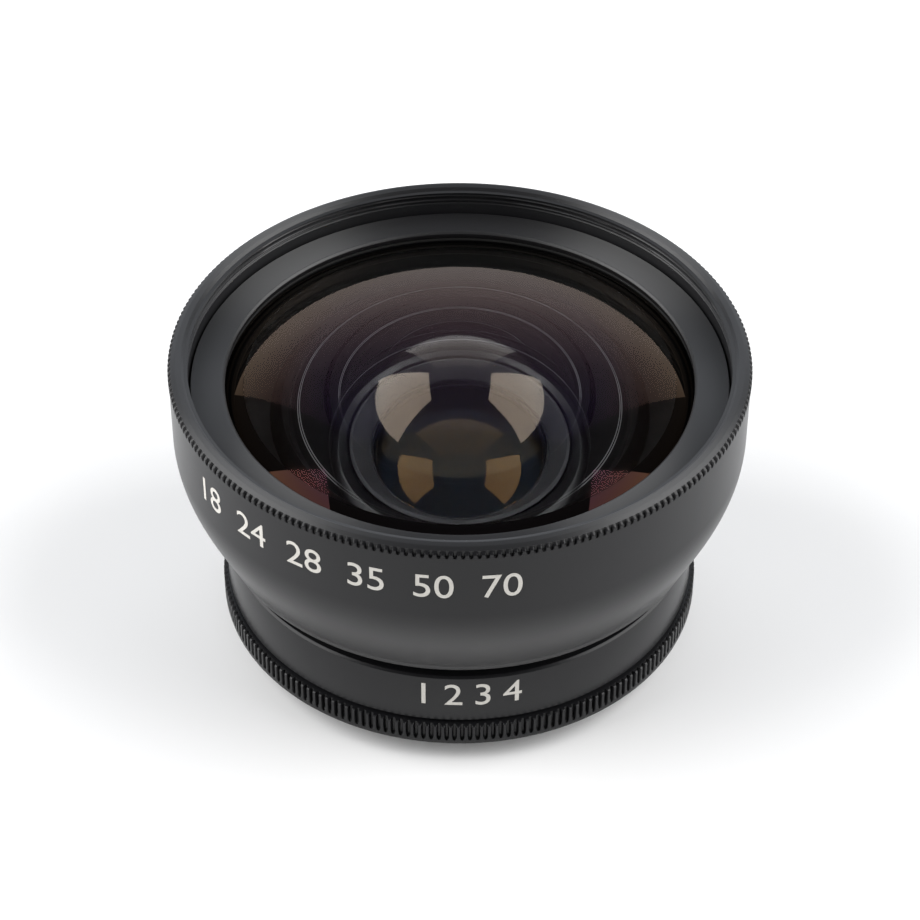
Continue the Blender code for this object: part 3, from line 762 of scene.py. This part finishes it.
def notched_ring(name, size, opening, face_up, body, node):
    """Retaining ring with two spanner notches, cut by a Boolean and applied."""
    if face_up:
        face = size.top
        bore = [(opening, size.bottom, CUT), (opening, size.top - RING_BEVEL, HAIRLINE),
                (opening + RING_BEVEL, size.top, HAIRLINE)]
    else:
        face = size.bottom
        bore = [(opening + RING_BEVEL, size.bottom, HAIRLINE),
                (opening, size.bottom + RING_BEVEL, HAIRLINE), (opening, size.top, CUT)]
    rows = rounded([(opening + SEAM_START, size.top, SQUARE), (size.radius, size.top, FINE),
                    (size.radius, size.bottom, FINE), *bore, (opening + SEAM_END, size.top, SQUARE)])
    ring = turned(name, rows, GLASS_COLUMNS, [INNER_BLACK], body, node)
    for angle in (0.0, pi):
        bpy.ops.mesh.primitive_cube_add(size=MM)
        cutter = bpy.context.active_object
        cutter.scale = (2 * NOTCH_REACH, NOTCH_WIDTH, 2 * NOTCH_DEPTH)
        cutter.rotation_euler.z = angle
        cutter.location = (opening * cos(angle) * MM, opening * sin(angle) * MM, face * MM)
        cut = ring.modifiers.new("notch", "BOOLEAN")
        cut.operation = "DIFFERENCE"
        cut.solver = "EXACT"
        cut.object = cutter
        with bpy.context.temp_override(object=ring, active_object=ring):
            bpy.ops.object.modifier_apply(modifier=cut.name)
        bpy.data.objects.remove(cutter, do_unlink=True)


# The macro section

def macro_housing():
    """Base ring: male thread, flange, toothed grip, groove and plain band."""
    blasted, inner = 0, 1
    grip = HOUSING.radius
    band = grip - BAND_STEP
    groove = band - GROOVE_DEPTH
    top = HOUSING.top
    grip_top = FLANGE_HEIGHT + GRIP_HEIGHT
    groove_top = grip_top + GROOVE_HEIGHT
    male = CAMERA_THREAD / 2 - FIT
    socket = CAMERA_THREAD / 2
    socket_floor = top - SOCKET_DEPTH
    glass_bore = MACRO_GLASS.radius + FIT
    opening = glass_bore - MACRO_LEDGE_WIDTH
    ring_bore = glass_bore + MACRO_RING_STEP
    ledge = FLANGE_HEIGHT + MACRO_LEDGE_HEIGHT
    glass_top = MACRO_RING.bottom - FIT

    outside = rounded([(socket + BAND_CHAMFER, top, SQUARE), (band - BAND_CHAMFER, top, BROKEN),
                       (band, top - BAND_CHAMFER, CUT), (band, groove_top, CUT),
                       (groove, groove_top, SOFT), (groove, grip_top, SOFT),
                       (grip - GRIP_TOOTH_DEPTH - SLIVER, grip_top, SQUARE)], blasted)
    outside.append(Row(grip - GRIP_TOOTH_DEPTH, grip_top - HAIR, blasted, GRIP_TEETH))
    outside.append(Row(grip - GRIP_CHAMFER, grip_top - 2 * HAIR, blasted, GRIP_TEETH,
                       GRIP_TOOTH_DEPTH - GRIP_CHAMFER))
    outside += knurl(grip, grip_top - GRIP_CHAMFER, FLANGE_HEIGHT + GRIP_LIP, GRIP_TOOTH_DEPTH,
                     GRIP_TEETH, blasted)
    outside += rounded([(grip, FLANGE_HEIGHT + GRIP_LIP - SLIVER, SQUARE),
                        (grip, FLANGE_HEIGHT + GRIP_CHAMFER, CUT),
                        (grip - GRIP_UNDERCUT, FLANGE_HEIGHT, BROKEN),
                        (male - THREAD_DEPTH, FLANGE_HEIGHT, SQUARE)], blasted)
    thread = threaded(male, FLANGE_HEIGHT - SLIVER, THREAD_CHAMFER, THREAD_DEPTH, inner)
    inside = rounded([(male - THREAD_CHAMFER, 0.0, SQUARE), (opening, 0.0, ROUND),
                      (opening, ledge, BROKEN), (glass_bore, ledge, SQUARE),
                      (glass_bore, glass_top, BROKEN), (ring_bore, glass_top, SQUARE),
                      (ring_bore, socket_floor, BROKEN), (socket + 2 * HAIR, socket_floor, SQUARE)], inner)
    female = threaded(socket - THREAD_DEPTH, top - BAND_CHAMFER - 2 * SLIVER,
                      socket_floor + SOCKET_RUN_OUT, -THREAD_DEPTH, inner)
    rows = outside + thread + inside + female[::-1]
    turned("base_ring", rows, GRIP_TEETH, [BLASTED, INNER_BLACK], "macro_section",
           "macro_housing")


def numerals(name, text, radius, place, body):
    """Plain numbers wrapped round a straight wall, evenly spaced about an angle."""
    height, middle_angle, spread_angle = place
    vertices, faces = [], []
    words = text.split()
    for i, word in enumerate(words):
        curve = bpy.data.curves.new(name, "FONT")
        curve.body = word
        curve.align_x = "CENTER"
        curve.size = NUMERAL_SIZE
        curve.extrude = NUMERAL_RELIEF
        curve.resolution_u = NUMERAL_STEPS
        letter = bpy.data.objects.new(name, curve)
        bpy.context.scene.collection.objects.link(letter)
        bpy.context.view_layer.update()
        graph = bpy.context.evaluated_depsgraph_get()
        mesh = bpy.data.meshes.new_from_object(letter.evaluated_get(graph))
        turn = radians(middle_angle) + radians(spread_angle) * (i / (len(words) - 1) - 0.5)
        start = len(vertices)
        for vertex in mesh.vertices:
            angle = turn + vertex.co.x / radius
            reach_out = radius + vertex.co.z
            vertices.append((reach_out * sin(angle) * MM, -reach_out * cos(angle) * MM,
                             (height + vertex.co.y) * MM))
        faces += [tuple(start + v for v in polygon.vertices) for polygon in mesh.polygons]
        bpy.data.objects.remove(letter, do_unlink=True)
        bpy.data.meshes.remove(mesh)
    mesh = bpy.data.meshes.new(name)
    mesh.from_pydata(vertices, [], faces)
    mesh.materials.append(NUMERAL_PAINT)
    piece = bpy.data.objects.new(name, mesh)
    bpy.context.scene.collection.objects.link(piece)
    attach(piece, body)


# Studio

def floor():
    """Wide white floor that the lens stands on."""
    bpy.ops.mesh.primitive_circle_add(vertices=FLOOR_CORNERS, radius=FLOOR_RADIUS, fill_type="NGON")
    sweep = bpy.context.active_object
    sweep.name = "floor"
    material, shader = principled("floor_white", FLOOR_WHITE, 0.6)
    shader.inputs["Specular IOR Level"].default_value = 0.1
    sweep.data.materials.append(material)


def panel(name, corner, along, up, stops, colour=WHITE):
    """Area lamp on a rectangle, in metres; stops give its radiance from foot (0) to top (1)."""
    peak = max(radiance for _, radiance in stops)
    data = bpy.data.lights.new(name, "AREA")
    data.shape = "RECTANGLE"
    data.size = along.length
    data.size_y = up.length
    data.color = colour
    data.energy = pi * data.size * data.size_y * peak
    data.use_nodes = True
    tree = data.node_tree
    place = tree.nodes.new("ShaderNodeNewGeometry")
    split = tree.nodes.new("ShaderNodeSeparateXYZ")
    ramp = tree.nodes.new("ShaderNodeValToRGB")
    elements = ramp.color_ramp.elements
    for share, _ in stops[1:-1]:
        elements.new(share)
    for element, (share, radiance) in zip(elements, stops):
        element.position = share
        element.color = (radiance / peak, radiance / peak, radiance / peak, 1.0)
    tree.links.new(place.outputs["Parametric"], split.inputs[0])
    tree.links.new(split.outputs["Y"], ramp.inputs["Fac"])
    tree.links.new(ramp.outputs["Color"], tree.nodes["Emission"].inputs["Strength"])
    lamp = bpy.data.objects.new(name, data)
    x, y = -along.normalized(), up.normalized()
    axes = Matrix((x, y, x.cross(y))).transposed().to_4x4()
    lamp.matrix_world = Matrix.Translation(corner + (along + up) / 2) @ axes
    bpy.context.scene.collection.objects.link(lamp)


def studio():
    """Two tall soft boxes at the sides, a lit sweep behind, and darkness overhead and in front."""
    world = bpy.data.worlds.new("studio")
    world.use_nodes = True
    background = world.node_tree.nodes["Background"]
    background.inputs["Color"].default_value = (*WHITE, 1.0)
    background.inputs["Strength"].default_value = WORLD_LIGHT
    bpy.context.scene.world = world
    lean = radians(BOX_LEAN)
    along = Vector((0.0, cos(lean), -sin(lean))) * BOX_WIDTH
    up = Vector((0.0, sin(lean), cos(lean))) * BOX_HEIGHT
    foot = Vector((0.0, BOX_NEAR, BOX_WIDTH * sin(lean)))
    side = Vector((BOX_SIDE, 0.0, 0.0))
    panel("left_box", foot - side, along, up, BOX_LIGHT)
    panel("right_box", foot + side + along, -along, up, BOX_LIGHT)
    panel("back_sweep", Vector((-SWEEP_HALF, SWEEP_BACK, 0.0)), Vector((2 * SWEEP_HALF, 0.0, 0.0)),
          Vector((0.0, 0.0, SWEEP_HEIGHT)), SWEEP_LIGHT, SWEEP_COLOUR)


def camera():
    """The photograph's viewing angle and framing."""
    data = bpy.data.cameras.new("camera")
    data.sensor_width = SENSOR_WIDTH
    data.lens = SENSOR_WIDTH * FOCAL_PIXELS / PHOTO_SIDE
    data.clip_start = CLIP_START
    eye = bpy.data.objects.new("camera", data)
    elevation = radians(CAMERA_ELEVATION)
    aim = Vector(AIM) * MM
    place = aim + Vector((0.0, -cos(elevation), sin(elevation))) * CAMERA_DISTANCE * MM
    look = (aim - place).to_track_quat("-Z", "Y").to_matrix().to_4x4()
    roll = Matrix.Rotation(radians(CAMERA_ROLL), 4, "Z")
    eye.matrix_world = Matrix.Translation(place) @ look @ roll
    bpy.context.scene.collection.objects.link(eye)
    bpy.context.scene.camera = eye


camera()
front_shell()
front_glass()
front_ring()
seal()
baffle()
rear_glass()
notched_ring("rear_ring", REAR_RING, REAR_GLASS.radius - REAR_RING_OVERLAP, False, "wide_section",
             "rear_retaining_ring")
macro_housing()
macro_glass()
notched_ring("macro_ring", MACRO_RING, MACRO_GLASS.radius - MACRO_RING_OVERLAP, True, "macro_section",
             "macro_retaining_ring")
numerals("bowl_numerals", "18 24 28 35 50 70", SHELL.radius - RIM_PROUD, BOWL_NUMERALS, "wide_section")
numerals("band_numerals", "1 2 3 4", HOUSING.radius - BAND_STEP, BAND_NUMERALS, "macro_section")
floor()
studio()
bpy.context.scene.view_settings.view_transform = "Standard"
